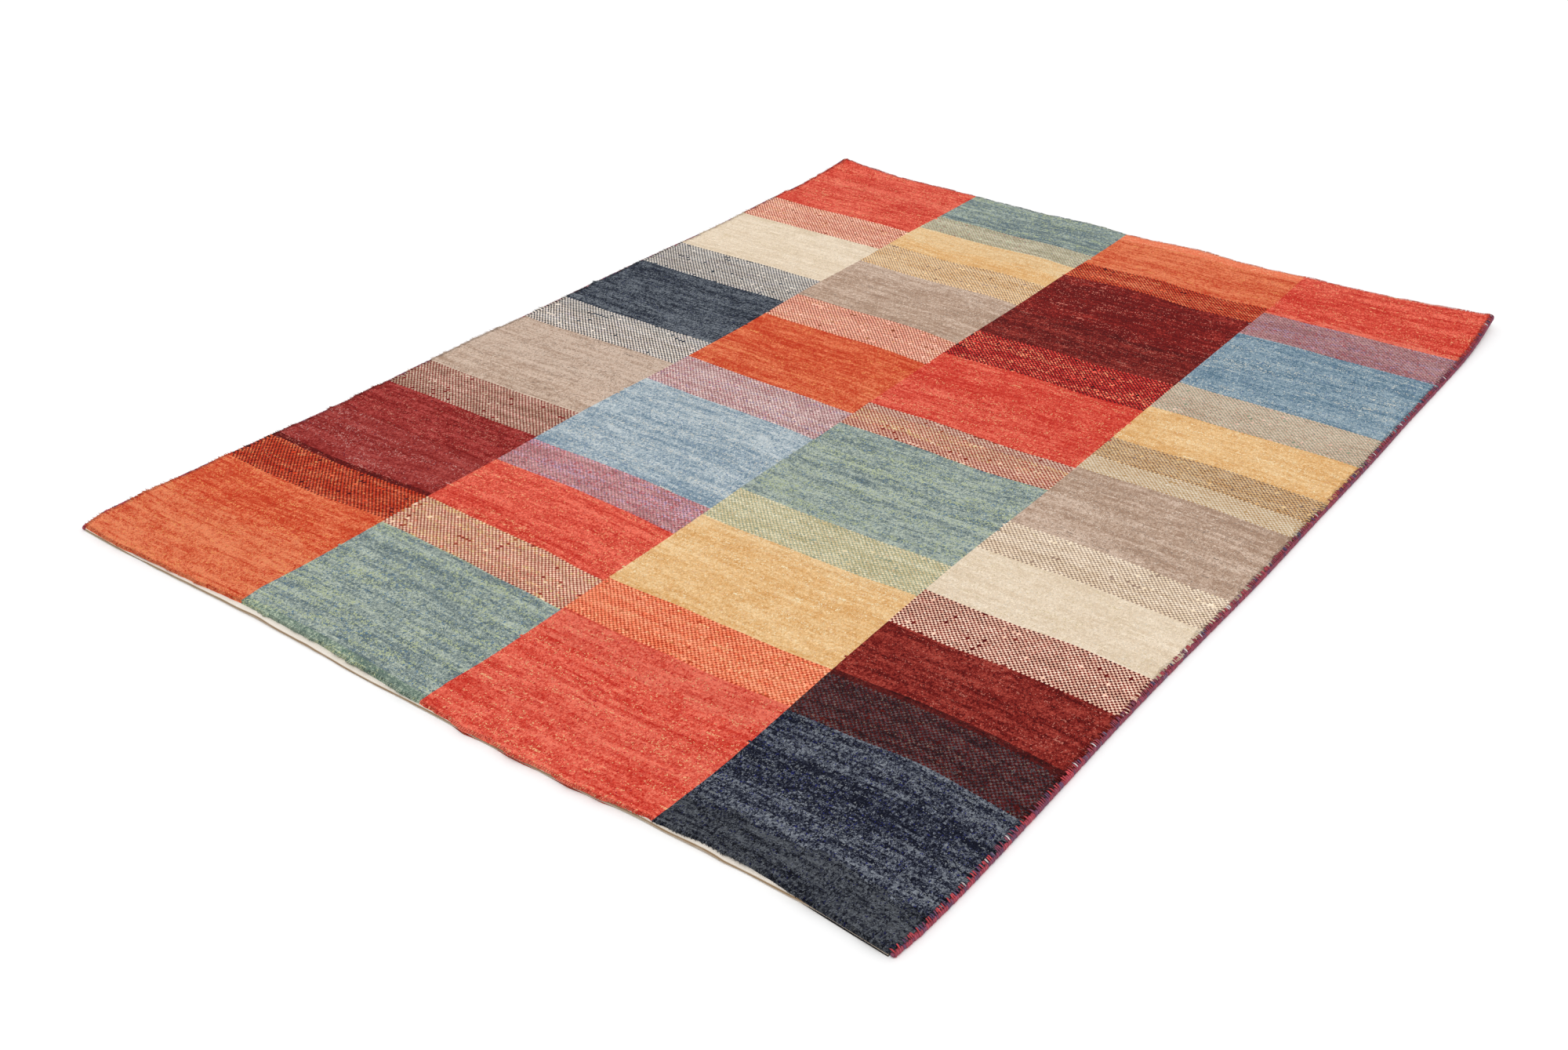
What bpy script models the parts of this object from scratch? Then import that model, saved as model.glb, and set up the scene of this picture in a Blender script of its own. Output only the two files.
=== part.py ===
"""Hand-knotted wool rug with a grid of plain colour blocks, lying flat with its two far corners curling up.

Metres, +Z up, +Y along the warps (the long side), +X along the wefts (the short side). The origin is at the
centre of the rug's footprint, on the floor. The rug is three pieces: the cloth, woven in one with the
flat-woven hem at each end, and the overcast cord that binds each long side.
"""
import math
from collections import namedtuple

import bmesh
import bpy
import numpy as np

# Thickness of the cloth
PILE_TOP = 0.010          # floor to the tips of the clipped pile
PILE_SHOULDER = 0.0078    # where the pile's rim starts to round over
SHOULDER_INSET = 0.003    # how far the rounded rim leans in over that height
HEM_TOP = 0.0045          # two layers of flat weave, turned under
HEM_BULGE = 0.0022        # height at which the turned fold stands out furthest
HEM_ROUND = 0.0012        # how far the fold's lower edge sits back from its bulge
HEM_TOP_ROUND = 0.001     # how far its upper edge does
PILE_ROOT = 0.0048        # height at which the first row of knots leaves the hem
BACK_HEM_SHOWS = 0.003    # the far hem, almost hidden below the pile's overhang
TOP_SWELL = 0.0004        # height of the slow swells in the clipped surface
SWELL_ACROSS = 0.43       # distance from one swell to the next across the rug
SWELL_ALONG = 0.54        # and along it
SWELL_START = 0.07        # distance of the first swell from the middle

# Overcast cord along each long side
CORD_RADIUS = 0.0048      # to the corners of its eight-sided section
CORD_SIDES = 8
CORD_TIP = 0.004          # length of the rounded tip at each end
CORD_TIP_SCALE = 0.55     # size of the tip's end beside the full section
SEAM_GAP = 0.0003         # clearance between the cord and the cloth

# Steps of the grid that both sides of the cloth share
STEPS_ACROSS = 30
STEPS_ALONG = 40

# Colours of the wool, linear, with a matt finish
CLOTH_COLOUR = (0.46, 0.12, 0.07, 1.0)
CORD_COLOUR = (0.30, 0.02, 0.06, 1.0)
WOOL_ROUGHNESS = 0.95

SHARP_DEGREES = 35        # edges that bend more than this are drawn sharp

MM = 0.001

# The long sides, to the outside of the cords: a row for each place along the rug, in millimetres
SideRow = namedtuple("SideRow", "y left right")
LONG_SIDES = (
    SideRow(-1006, -745, 744),
    SideRow(-960, -758, 749),
    SideRow(-850, -757, 751),
    SideRow(-700, -754, 750),
    SideRow(-500, -747, 748),
    SideRow(-270, -751, 750),
    SideRow(-80, -748, 753),
    SideRow(130, -749, 752),
    SideRow(350, -748, 752),
    SideRow(530, -744, 749),
    SideRow(730, -750, 748),
    SideRow(870, -747, 746),
    SideRow(1005, -745, 737),
)

# The short ends: the front fold of the hem, how much hem shows in front of the pile, and the pile's far rim
EndRow = namedtuple("EndRow", "x front hem_shows back")
SHORT_ENDS = (
    EndRow(-755, -1002, 1.5, 1001),
    EndRow(-640, -1005, 1.5, 1001),
    EndRow(-540, -1004, 3.0, 1002),
    EndRow(-410, -1002, 8.0, 1002),
    EndRow(-230, -1004, 11.0, 996),
    EndRow(-110, -1009, 10.5, 1003),
    EndRow(10, -1008, 2.0, 994),
    EndRow(150, -1010, 1.5, 1003),
    EndRow(270, -1009, 1.5, 994),
    EndRow(370, -1005, 3.0, 999),
    EndRow(480, -1004, 4.0, 1000),
    EndRow(600, -1003, 6.0, 1001),
    EndRow(690, -1007, 3.0, 1001),
    EndRow(750, -1012, 1.5, 1001),
)

# Corners that curl off the floor: height at the tip, and reach along both edges
Curl = namedtuple("Curl", "side height reach")
CURLS = (
    Curl("left", 0.016, 0.22),
    Curl("right", 0.015, 0.31),
)

# The rim of the cloth from the floor up: height, set-back from the side wall, set-back from the hem's fold,
# and whether the set-back at the ends also counts the hem that shows in front of the pile
RimLevel = namedtuple("RimLevel", "height side_in end_in behind_hem")
RIM = (
    RimLevel(0.0, 0.0, HEM_ROUND, False),
    RimLevel(HEM_BULGE, 0.0, 0.0, False),
    RimLevel(HEM_TOP, 0.0, HEM_TOP_ROUND, False),
    RimLevel(PILE_ROOT, 0.0, 0.0, True),
    RimLevel(PILE_SHOULDER, 0.0, 0.0, True),
    RimLevel(PILE_TOP, SHOULDER_INSET, SHOULDER_INSET, True),
)


def smooth_column(table, key, column, at):
    """Value of a table's column at a place, on one smooth curve through its rows."""
    places = [getattr(row, key) * MM for row in table]
    values = [getattr(row, column) * MM for row in table]
    at = min(max(at, places[0]), places[-1])
    last = len(places) - 2
    i = next((k for k in range(last) if at <= places[k + 1]), last)
    step = places[i + 1] - places[i]
    u = (at - places[i]) / step

    def slope(k):
        low, high = max(k - 1, 0), min(k + 1, len(places) - 1)
        return (values[high] - values[low]) / (places[high] - places[low])

    rise = values[i + 1] - values[i]
    start, end = slope(i) * step, slope(i + 1) * step
    return values[i] + u * (start + u * (3 * rise - 2 * start - end + u * (start + end - 2 * rise)))


def middle(low, high):
    return (low + high) / 2


CENTRE_X = middle(min(row.left for row in LONG_SIDES), max(row.right for row in LONG_SIDES)) * MM
CENTRE_Y = middle(min(row.front for row in SHORT_ENDS) * MM, max(row.back for row in SHORT_ENDS) * MM + BACK_HEM_SHOWS)


def front_fold(x):
    return smooth_column(SHORT_ENDS, "x", "front", x)


def hem_shows(x):
    return smooth_column(SHORT_ENDS, "x", "hem_shows", x)


def back_rim(x):
    return smooth_column(SHORT_ENDS, "x", "back", x)


def back_fold(x):
    return back_rim(x) + BACK_HEM_SHOWS


def side_stations(side):
    """Corners of a long side's outline, in order along +Y: the cloth and its cord both bend only at these."""
    x = smooth_column(LONG_SIDES, "y", side, 0)
    front, back = front_fold(x), back_fold(x)
    places = [front + (back - front) * j / STEPS_ALONG for j in range(STEPS_ALONG + 1)]
    return places, [smooth_column(LONG_SIDES, "y", side, y) for y in places]


STATIONS = {side: side_stations(side) for side in ("left", "right")}


def side_edge(side, y):
    """Outside of the cord on a long side."""
    return float(np.interp(y, *STATIONS[side]))


def lift(x, y):
    """Height of the underside above the floor: nothing but in the two curled far corners."""
    to_back = back_fold(x) - y
    height = 0.0
    for curl in CURLS:
        to_side = abs(x - side_edge(curl.side, y))
        rise = 1 - (to_side + max(to_back, 0)) / curl.reach
        height += curl.height * max(rise, 0) ** 2
    return height


def cord_flat():
    """Distance from the cord's middle to its flats: one rests on the floor, and one faces the cloth."""
    return CORD_RADIUS * math.cos(math.pi / CORD_SIDES)


def plan_point(i, j, level):
    """Place in plan of a grid point of the cloth, at a level of its rim."""
    across, along = i / STEPS_ACROSS, j / STEPS_ALONG
    x = side_edge("left", 0) + across * (side_edge("right", 0) - side_edge("left", 0))
    y = front_fold(x) + along * (back_fold(x) - front_fold(x))
    if j == 0:
        y += level.end_in + (hem_shows(x) if level.behind_hem else 0)
    if j == STEPS_ALONG:
        y -= level.end_in + (BACK_HEM_SHOWS if level.behind_hem else 0)
    wall = 2 * cord_flat() + SEAM_GAP + level.side_in
    left, right = side_edge("left", y) + wall, side_edge("right", y) - wall
    return left + across * (right - left), y


def swell(x, y):
    """Slow unevenness of the clipped surface, always downwards from the pile's full height."""
    across = math.sin(2 * math.pi * (x + SWELL_START) / SWELL_ACROSS)
    along = math.sin(2 * math.pi * y / SWELL_ALONG)
    return -TOP_SWELL * (1 + across * along) / 2


def wool(name, colour):
    material = bpy.data.materials.new(name)
    material.use_nodes = True
    shader = material.node_tree.nodes["Principled BSDF"]
    shader.inputs["Base Color"].default_value = colour
    shader.inputs["Roughness"].default_value = WOOL_ROUGHNESS
    shader.inputs["Metallic"].default_value = 0.0
    return material


def add_object(name, mesh_builder, material):
    """An object of the mesh, recentred on the rug's footprint."""
    bmesh.ops.translate(mesh_builder, verts=mesh_builder.verts, vec=(-CENTRE_X, -CENTRE_Y, 0))
    bmesh.ops.recalc_face_normals(mesh_builder, faces=mesh_builder.faces)
    mesh = bpy.data.meshes.new(name)
    mesh_builder.to_mesh(mesh)
    mesh_builder.free()
    mesh.materials.append(material)
    mesh.shade_smooth()
    mesh.set_sharp_from_angle(angle=math.radians(SHARP_DEGREES))
    thing = bpy.data.objects.new(name, mesh)
    bpy.context.scene.collection.objects.link(thing)
    return thing


def around_the_rim():
    """Grid places around the cloth's edge, anticlockwise from the front left corner."""
    front = [(i, 0) for i in range(STEPS_ACROSS)]
    right = [(STEPS_ACROSS, j) for j in range(STEPS_ALONG)]
    back = [(i, STEPS_ALONG) for i in range(STEPS_ACROSS, 0, -1)]
    left = [(0, j) for j in range(STEPS_ALONG, 0, -1)]
    return front + right + back + left


def build_cloth():
    """The knotted field and its two turned hems, one closed solid with a flat underside."""
    cloth = bmesh.new()

    def place(i, j, level):
        x, y = plan_point(i, j, level)
        z = level.height + lift(x, y)
        if level is RIM[-1]:
            z += swell(x, y)
        return cloth.verts.new((x, y, z))

    grid = [(i, j) for i in range(STEPS_ACROSS + 1) for j in range(STEPS_ALONG + 1)]
    underside = {at: place(*at, RIM[0]) for at in grid}
    top = {at: place(*at, RIM[-1]) for at in grid}
    for i in range(STEPS_ACROSS):
        for j in range(STEPS_ALONG):
            cell = ((i, j), (i + 1, j), (i + 1, j + 1), (i, j + 1))
            cloth.faces.new([top[at] for at in cell])
            cloth.faces.new([underside[at] for at in reversed(cell)])

    rim = around_the_rim()
    rings = [[underside[at] for at in rim]]
    rings += [[place(*at, level) for at in rim] for level in RIM[1:-1]]
    rings += [[top[at] for at in rim]]
    for lower, upper in zip(rings, rings[1:]):
        for k in range(len(rim)):
            n = (k + 1) % len(rim)
            cloth.faces.new((lower[k], lower[n], upper[n], upper[k]))
    return add_object("rug_cloth", cloth, wool("knotted_wool", CLOTH_COLOUR))


def build_cord(name, side, material):
    """Overcast cord of one long side, on the floor, following the side's outline and its curl."""
    cord = bmesh.new()
    inward = 1 if side == "left" else -1
    places, _ = STATIONS[side]
    stations = [(places[0], CORD_TIP_SCALE), (places[0] + CORD_TIP, 1.0)]
    stations += [(y, 1.0) for y in places[1:-1]]
    stations += [(places[-1] - CORD_TIP, 1.0), (places[-1], CORD_TIP_SCALE)]

    rings = []
    for y, scale in stations:
        x = side_edge(side, y) + inward * cord_flat()
        floor = lift(x, y)
        ring = []
        for k in range(CORD_SIDES):
            turn = 2 * math.pi * (k + 0.5) / CORD_SIDES
            radius = CORD_RADIUS * scale
            z = floor + cord_flat() - radius * math.cos(turn)
            ring.append(cord.verts.new((x + radius * math.sin(turn), y, z)))
        rings.append(ring)
    for near, far in zip(rings, rings[1:]):
        for k in range(CORD_SIDES):
            n = (k + 1) % CORD_SIDES
            cord.faces.new((near[k], near[n], far[n], far[k]))
    cord.faces.new(rings[0])
    cord.faces.new(rings[-1])
    return add_object(name, cord, material)


def main():
    for thing in list(bpy.data.objects):
        bpy.data.objects.remove(thing, do_unlink=True)
    build_cloth()
    overcast = wool("overcast_wool", CORD_COLOUR)
    build_cord("side_cord_left", "left", overcast)
    build_cord("side_cord_right", "right", overcast)


main()
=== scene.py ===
"""Looks of the hand-knotted wool rug: its pile knot by knot, its woven hems, its side cords and its back.

Metres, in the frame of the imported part: +Z up, +Y along the warps to the far end, +X along the wefts.
"""
import math
from collections import namedtuple

import bpy
import numpy as np
from mathutils import Matrix, Vector


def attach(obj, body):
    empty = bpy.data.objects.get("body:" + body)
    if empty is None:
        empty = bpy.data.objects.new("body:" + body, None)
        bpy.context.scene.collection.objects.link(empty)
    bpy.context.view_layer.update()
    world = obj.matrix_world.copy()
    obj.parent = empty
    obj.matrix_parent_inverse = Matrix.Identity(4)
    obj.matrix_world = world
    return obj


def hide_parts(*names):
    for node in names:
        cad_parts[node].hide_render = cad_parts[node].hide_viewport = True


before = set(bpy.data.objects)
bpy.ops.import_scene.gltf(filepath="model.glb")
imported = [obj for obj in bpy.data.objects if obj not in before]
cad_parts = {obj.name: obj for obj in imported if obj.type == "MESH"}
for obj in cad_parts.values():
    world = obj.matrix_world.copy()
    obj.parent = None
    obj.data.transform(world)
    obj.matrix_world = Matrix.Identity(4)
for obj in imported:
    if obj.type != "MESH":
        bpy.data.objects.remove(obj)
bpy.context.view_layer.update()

MM = 0.001

# The cloth's own sizes, as in the part
PILE_TOP = 0.010          # floor to the tips of the clipped pile
PILE_SHOULDER = 0.0078    # where the pile's rim starts to round over
HEM_BULGE = 0.0022        # height at which the turned fold stands out furthest
BACK_HEM_SHOWS = 0.003    # the far hem, almost hidden below the pile's overhang
TOP_SWELL = 0.0004        # height of the slow swells in the clipped surface
SWELL_ACROSS = 0.43       # distance from one swell to the next across the rug
SWELL_ALONG = 0.54        # and along it
SWELL_START = 0.07        # distance of the first swell from the middle
CORD_RADIUS = 0.0048      # to the corners of its eight-sided section
CORD_SIDES = 8
CORD_FLAT = CORD_RADIUS * math.cos(math.pi / CORD_SIDES)
SEAM_GAP = 0.0003         # clearance between the cord and the cloth
STEPS_ALONG = 40          # corners of a long side's outline

# The long sides, to the outside of the cords: a row for each place along the rug, in millimetres
SideRow = namedtuple("SideRow", "y left right")
LONG_SIDES = (
    SideRow(-1006, -745, 744),
    SideRow(-960, -758, 749),
    SideRow(-850, -757, 751),
    SideRow(-700, -754, 750),
    SideRow(-500, -747, 748),
    SideRow(-270, -751, 750),
    SideRow(-80, -748, 753),
    SideRow(130, -749, 752),
    SideRow(350, -748, 752),
    SideRow(530, -744, 749),
    SideRow(730, -750, 748),
    SideRow(870, -747, 746),
    SideRow(1005, -745, 737),
)

# The short ends: the front fold of the hem, how much hem shows in front of the pile, and the pile's far rim
EndRow = namedtuple("EndRow", "x front hem_shows back")
SHORT_ENDS = (
    EndRow(-755, -1002, 1.5, 1001),
    EndRow(-640, -1005, 1.5, 1001),
    EndRow(-540, -1004, 3.0, 1002),
    EndRow(-410, -1002, 8.0, 1002),
    EndRow(-230, -1004, 11.0, 996),
    EndRow(-110, -1009, 10.5, 1003),
    EndRow(10, -1008, 2.0, 994),
    EndRow(150, -1010, 1.5, 1003),
    EndRow(270, -1009, 1.5, 994),
    EndRow(370, -1005, 3.0, 999),
    EndRow(480, -1004, 4.0, 1000),
    EndRow(600, -1003, 6.0, 1001),
    EndRow(690, -1007, 3.0, 1001),
    EndRow(750, -1012, 1.5, 1001),
)

# Corners that curl off the floor: height at the tip, and reach along both edges
Curl = namedtuple("Curl", "side height reach")
CURLS = (
    Curl("left", 0.016, 0.22),
    Curl("right", 0.015, 0.31),
)

# Knots of the pile, which is built in tiles
KNOTS_ACROSS = 404
KNOT_ROWS = 532
TILES_ACROSS = 4
TILES_ALONG = 2
KNOT_CROWN = 0.0005       # how far a knot's middle stands above the furrows round it
KNOT_UNEVEN = 0.00015     # spread of the knots' heights
KNOT_SHIFT = 0.0005       # spread of the knots' middles in plan
FURROW_SHARES = (0.7, 1.3)    # least and greatest share of the crown that a furrow lies below it
Billow = namedtuple("Billow", "swelling knots")
RIM_BILLOWS = (Billow(0.0009, 18), Billow(0.0010, 4))     # waves of the pile's rim, out and in
RIM_RAGGED = 0.0008       # spread of the outermost knots in plan
LEFT_RAGGED = 1.5         # how much more uneven the rim is on the left, towards which the pile leans

# How far the pile spreads over the front hem, or is pushed back from it, in millimetres
RimRow = namedtuple("RimRow", "x out")
FRONT_RIM = (
    RimRow(-700, 0.0),
    RimRow(-645, -0.5),
    RimRow(-630, -3.0),
    RimRow(-560, -3.5),
    RimRow(-480, -0.5),
    RimRow(60, 0.0),
    RimRow(76, 1.5),
    RimRow(89, 4.2),
    RimRow(103, 1.2),
    RimRow(158, 0.0),
    RimRow(170, 2.5),
    RimRow(195, 2.2),
    RimRow(207, 0.0),
    RimRow(242, 0.0),
    RimRow(254, 2.6),
    RimRow(280, 3.0),
    RimRow(300, 1.0),
    RimRow(325, 2.8),
    RimRow(338, 0.0),
    RimRow(410, -0.5),
    RimRow(455, -4.5),
    RimRow(500, -6.5),
    RimRow(545, -4.0),
    RimRow(580, 0.5),
    RimRow(610, 3.8),
    RimRow(650, 4.4),
    RimRow(700, 4.0),
    RimRow(745, 2.5),
)
FRONT_RIM_REACH = 0.036   # how far in from the rim the pile is moved with it
SIDE_OVERHANG = 0.0038    # how far the pile leans over the cords
SIDE_RIM_DROP = 0.0014    # how far below the pile's top its rim is there
SIDE_SKIRT_FOOT = 0.0012  # height to which the rim's yarns reach down beside a cord
END_SKIRT_FOOT = 0.0042   # and on a hem
SKIRT_MAP_DROP = 1.5      # knots by which the rim's map goes on down its yarns
MAP_MARGIN = 2            # knots left free round a tile's map

# Locks of yarn at the pile's rim, which lean out over the cords and hems
Lock = namedtuple("Lock", "back height width")
LOCK_RINGS = (
    Lock(0.0030, 0.0094, 0.0030),
    Lock(-0.0014, 0.0096, 0.0027),
)
LOCK_SIDES = 3
LOCK_WIDTHS = (0.8, 1.2)  # least and greatest share of a lock's width
LockTip = namedtuple("LockTip", "reach height")
LOCK_TIPS = {
    "front": LockTip(0.0018, 0.0060),
    "back": LockTip(0.0014, 0.0056),
    "left": LockTip(0.0072, 0.0096),
    "right": LockTip(0.0060, 0.0088),
}
LOCK_REACHES = (0.4, 1.25)     # least and greatest share of the reach
LOCK_SPREAD = 0.0011      # unevenness of the locks' tips
LOCK_DRIFT = 1.5          # how much further they stray along the rim
LOCK_TIP_DRIFT = 1.6      # and their tips beside their roots
LOCK_STRIPS = 12          # rows that their map is folded into

# Turned hems of flat weave: the section from under the pile, round the fold, to under the cloth
HemRow = namedtuple("HemRow", "base beyond height worn")
# Last column: share of painted shade, in a brown like dust, on the fold's lower face and under it
HEM_SECTION = (
    HemRow("pile", 0.0140, 0.0046, 0.0),
    HemRow("pile", 0.0020, 0.0047, 0.0),
    HemRow("pile", 0.0000, 0.0048, 0.0),
    HemRow("fold", 0.0018, 0.0047, 0.4),
    HemRow("fold", 0.0010, 0.0044, 1.0),
    HemRow("fold", 0.0004, 0.0038, 1.0),
    HemRow("fold", 0.0001, 0.0030, 0.75),
    HemRow("fold", 0.0000, 0.0022, 0.5),
    HemRow("fold", 0.0002, 0.0014, 0.5),
    HemRow("fold", 0.0007, 0.0006, 0.6),
    HemRow("fold", 0.0014, 0.0002, 0.4),
    HemRow("fold", 0.0120, 0.0001, 0.2),
    HemRow("fold", 0.0260, 0.0001, 0.2),
)
HEM_STEPS = 404
HEM_UNEVEN = 0.0014       # spread of the fold, in plan and in height
HEM_UNEVEN_WAVE = 16      # steps from one wave of it to the next
WARPS_A_STEP = 2
HEM_WEFTS = 44.0          # wefts across the section
HEM_STRIPS = 7            # rows that a hem's map is folded into

# Overcast cords: wool wrapped round the edge warps
WOOL_RADIUS = 0.0043      # drawn in from the part's eight sides
WRAP_PITCH = 0.0037
RINGS_A_WRAP = 3
WRAP_GROOVE = 0.0008      # depth of the groove between two wraps
WRAP_SWELLING = 0.6       # roundness of a wrap: less is flatter
WRAP_UNEVEN = 0.0003      # spread of the wraps' depths
SPARE_WRAPS = 4           # beyond the cord's ends, for the corners of a wrap that is cut there
CORD_TIP_RINGS = 2
CORD_STRIPS = 8           # rows that a cord's map is folded into

# Yarns of the wraps, from the near end to the far one: runs of reds and between them short ones of navy
RED_RUN = (3, 6)          # wraps, at least this many and fewer than that
RED_RUN_FAR = 8           # more of them further off
NAVY_RUN = (1, 4)
NEAR_SHARE = 3            # the brighter reds end at one part in this many of the length
BRIGHT_RED = (0.0, 0.15)  # places among the cord's yarns
DULL_RED = (0.25, 0.42)
NAVY = (0.52, 0.64)
YARN_SPREAD = 0.12
YARN_MOST = 0.72

# Overcasting stitches that reach from the cord over the pile: distance in from its outside, height, radius
Stitch = namedtuple("Stitch", "inside height radius")
STITCH_RINGS = (
    Stitch(0.0024, 0.0080, 0.0011),
    Stitch(0.0052, 0.0094, 0.0013),
    Stitch(0.0076, 0.0100, 0.0012),
)
STITCH_TIP = (0.0084, 0.0128)       # how far in the shortest and the longest reach
STITCH_SIDES = 3
STITCH_TIP_HEIGHT = 0.0097
STITCH_REACH = (0.3, 0.25, 0.2)     # mean share of that range, the clumps' spread and each stitch's own
STITCH_CLUMP = 7          # stitches from one clump to the next
STITCH_SLANT = (-0.0006, 0.0030)    # along the rug, at the shortest stitch's tip
STITCH_SINKS = {"left": 0.0026, "right": 0.0}
STITCHES_LEFT_OUT = 0.3
CREAM_STITCHES = 0.04     # share of cream ones
CREAM_YARN = 0.95         # and their place among the cord's yarns

# The back of the cloth, seen where the far corners curl
BACK_STEPS_ACROSS = 58
BACK_STEPS_ALONG = 76
BACK_RISE = 0.0002        # clear of the floor, and of the hems turned under it

# Noise over the knots: its rows and knots from one wave to the next, and its strength
Wave = namedtuple("Wave", "rows knots strength")

# Dye lots, shared by the whole rug: how far their dips lie towards the light one, and how light their tone is
Lot = namedtuple("Lot", "dip tone")
LOTS = {
    "even": Lot(0.0, 0.0),
    "fair": Lot(0.15, -0.03),
    "pale": Lot(0.3, -0.08),
    "deep": Lot(-0.15, 0.02),
    "dark": Lot(-0.35, 0.0),
    "rich": Lot(-0.35, 0.4),
    "dull": Lot(0.2, -0.25),
    "night": Lot(0.1, -0.55),
}

# Colour blocks, a column at a time from the left: the two dyes tied by turns, or one dye alone, the lot, and
# where the band ends, in millimetres from the pile's far rim. Two lots of one dye meet in a ragged line
Band = namedtuple("Band", "first second lot until")
BLOCKS = (
    (
        Band("coral", "coral", "even", 88),
        Band("coral", "coral", "fair", 135),
        Band("coral", "coral", "even", 265),
        Band("salmon", "copper", "deep", 380),
        Band("cream", "cream", "even", 588),
        Band("silver", "navy", "dull", 705),
        Band("navy", "navy", "even", 935),
        Band("silver", "navy", "dull", 965),
        Band("silver", "navy", "deep", 1045),
        Band("taupe", "taupe", "pale", 1200),
        Band("taupe", "taupe", "fair", 1285),
        Band("taupe", "wine", "deep", 1388),
        Band("wine", "wine", "even", 1500),
        Band("mauve", "mauve", "even", 1628),
        Band("maroon", "maroon", "dark", 1640),
        Band("orange", "maroon", "dark", 1725),
        Band("orange", "orange", "deep", 1840),
        Band("orange", "orange", "fair", 2000),
    ),
    (
        Band("teal", "teal", "deep", 150),
        Band("sage", "taupe", "even", 225),
        Band("gold", "gold", "pale", 290),
        Band("gold", "gold", "even", 342),
        Band("gold", "walnut", "pale", 452),
        Band("taupe", "taupe", "even", 515),
        Band("taupe", "taupe", "deep", 662),
        Band("salmon", "copper", "dark", 710),
        Band("salmon", "copper", "deep", 770),
        Band("orange", "orange", "deep", 900),
        Band("orange", "orange", "even", 1005),
        Band("dusk", "heather", "deep", 1115),
        Band("sky", "sky", "fair", 1180),
        Band("sky", "sky", "even", 1370),
        Band("sky", "sky", "deep", 1393),
        Band("rose", "heather", "even", 1483),
        Band("coral", "coral", "even", 1640),
        Band("peach", "brick", "even", 1732),
        Band("teal", "teal", "even", 1984),
        Band("reed", "reed", "even", 2000),
    ),
    (
        Band("apricot", "apricot", "dark", 30),
        Band("orange", "orange", "fair", 187),
        Band("orange", "maroon", "dark", 212),
        Band("orange", "maroon", "deep", 262),
        Band("maroon", "maroon", "rich", 462),
        Band("maroon", "maroon", "dark", 482),
        Band("maroon", "maroon", "deep", 590),
        Band("madder", "oxblood", "rich", 705),
        Band("coral", "coral", "deep", 840),
        Band("coral", "coral", "even", 950),
        Band("blush", "brick", "dull", 975),
        Band("peach", "brick", "deep", 1015),
        Band("blush", "brick", "dark", 1043),
        Band("teal", "teal", "even", 1200),
        Band("teal", "teal", "fair", 1315),
        Band("straw", "sage", "even", 1415),
        Band("gold", "gold", "fair", 1440),
        Band("gold", "gold", "even", 1628),
        Band("apricot", "orange", "even", 1727),
        Band("coral", "coral", "pale", 1795),
        Band("coral", "coral", "even", 1840),
        Band("coral", "coral", "fair", 1932),
        Band("coral", "coral", "even", 2000),
    ),
    (
        Band("coral", "coral", "even", 63),
        Band("coral", "coral", "deep", 190),
        Band("coral", "coral", "pale", 208),
        Band("rose", "heather", "dull", 318),
        Band("azure", "azure", "even", 575),
        Band("blush", "sage", "dull", 685),
        Band("gold", "gold", "even", 820),
        Band("gold", "walnut", "dull", 890),
        Band("gold", "cream", "dull", 943),
        Band("taupe", "taupe", "deep", 1050),
        Band("taupe", "taupe", "even", 1158),
        Band("taupe", "cream", "even", 1205),
        Band("taupe", "cream", "deep", 1250),
        Band("cream", "cream", "even", 1392),
        Band("blush", "maroon", "deep", 1490),
        Band("maroon", "maroon", "even", 1625),
        Band("oxblood", "oxblood", "even", 1637),
        Band("plum", "oxblood", "even", 1732),
        Band("indigo", "indigo", "deep", 1798),
        Band("indigo", "indigo", "dark", 1864),
        Band("indigo", "indigo", "deep", 1932),
        Band("indigo", "indigo", "night", 2000),
    ),
)
BLOCK_SPAN = 2000
COLUMN_JAG = 0.03         # share of rows that end a knot to either side of their column's edge
LOT_FEATHER = 9.0         # raggedness of the line between two dye lots, in millimetres
LOT_FEATHER_WAVE = (1, 12)     # rows and knots from one of its waves to the next
MIX_RUN = Wave(1, 9, 2.7)      # runs of one dye in the mixed bands, and how rare they are
# Painted light and shade in the mixed bands: the lighter dye's knots made lighter and the darker dye's
# darker, for lit tips and shadowed gaps
MIX_CONTRAST = (0.16, 0.20)    # how much further apart their dyes are: always, and for their difference
MIX_CONTRAST_MOST = 0.26
MIX_VARIED = 1.1          # how much more the dips differ in them
WRONG_KNOTS = 0.008       # share of knots of the other dye there

# Where the columns meet, in millimetres from the cloth's left edge: on average, and as the warps wander,
# at distances from the pile's far rim
COLUMN_SPAN = 1562
COLUMN_MEETS = (376, 770, 1184)
ColumnRow = namedtuple("ColumnRow", "place first second third")
COLUMN_EDGES = (
    ColumnRow(0, 373, 767, 1180),
    ColumnRow(600, 371, 760, 1177),
    ColumnRow(860, 379, 763, 1180),
    ColumnRow(1300, 374, 771, 1182),
    ColumnRow(1600, 376, 779, 1190),
    ColumnRow(1880, 384, 786, 1201),
    ColumnRow(2000, 381, 780, 1199),
)

# Waves that the rows of knots run in: height in millimetres, length across and along the rug, and start
RowWave = namedtuple("RowWave", "height across along start")
ROW_WAVES = (
    RowWave(1.5, 0.90, 0.55, 0.10),
    RowWave(1.3, 0.47, -0.80, 0.35),
    RowWave(0.9, 0.31, 0.42, 0.72),
    RowWave(0.6, 0.21, -0.33, 0.05),
    RowWave(0.4, 0.13, 0.21, 0.50),
)
ROW_WAVES_START = 0.08    # share of the rug's length over which they set in at either end

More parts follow.
